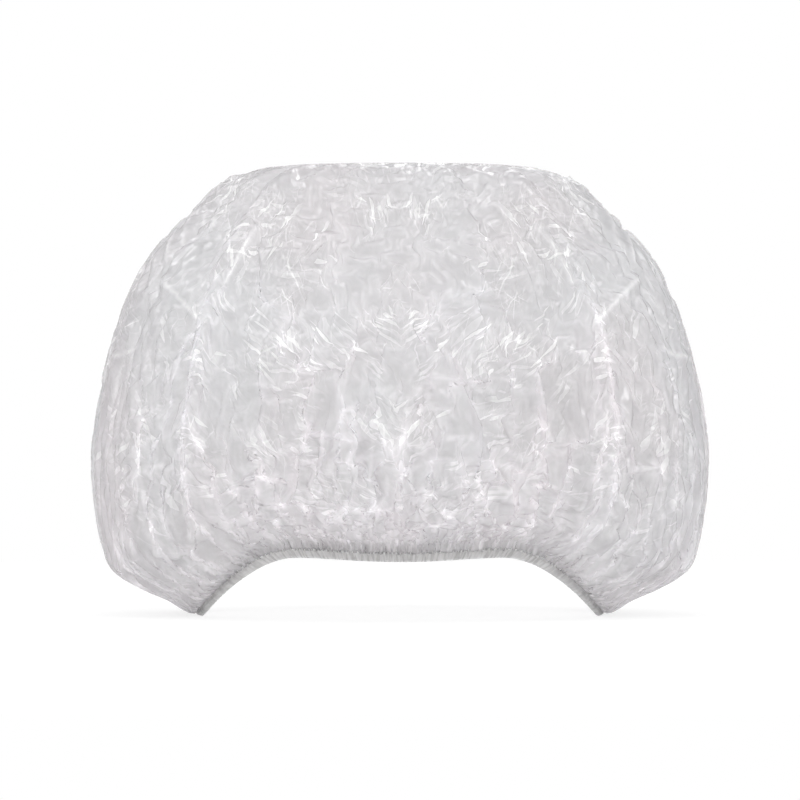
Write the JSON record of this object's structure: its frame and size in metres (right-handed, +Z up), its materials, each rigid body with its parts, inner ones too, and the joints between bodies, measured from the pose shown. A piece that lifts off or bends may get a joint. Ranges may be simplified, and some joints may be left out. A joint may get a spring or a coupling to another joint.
{
  "type": "shower cap",
  "caption": "Clear crumpled film shower cap with a puffed crown and an arched, gathered elastic hem that stretches to go over the head.",
  "frame": {"origin": "middle of the surface that the cap rests on, under the centre of its overall box", "axes": "+Z up through the crown, -Y the front as worn and pictured, +X across the cap to its right"},
  "size_m": [0.22, 0.182, 0.16],
  "materials": {
    "crown_film": "thin clear polyethylene film, crinkled, with sharp bright creases",
    "hem_film": "the same film doubled and gathered, greyer where its layers stack",
    "weld_line": "heat-welded film, milky and pressed in fine dashes",
    "elastic": "white latex elastic, matt"
  },
  "bodies": {
    "cap": {"crown_film": "crown_film", "hem_casing": "hem_film", "hem_facing": "hem_film", "hem_weld": "weld_line", "elastic_band": "elastic"},
    "back_edge": {"hem_lap": "hem_film"}
  },
  "joints": [
    {"name": "opening_stretch", "type": "slide", "parent": "cap", "child": "back_edge", "axis": [0, 1, 0], "range_m": [0, 0.07], "stiffness_N_per_m": 30, "deforming": ["elastic_band", "hem_casing", "hem_facing", "hem_weld", "crown_film"]}
  ]
}
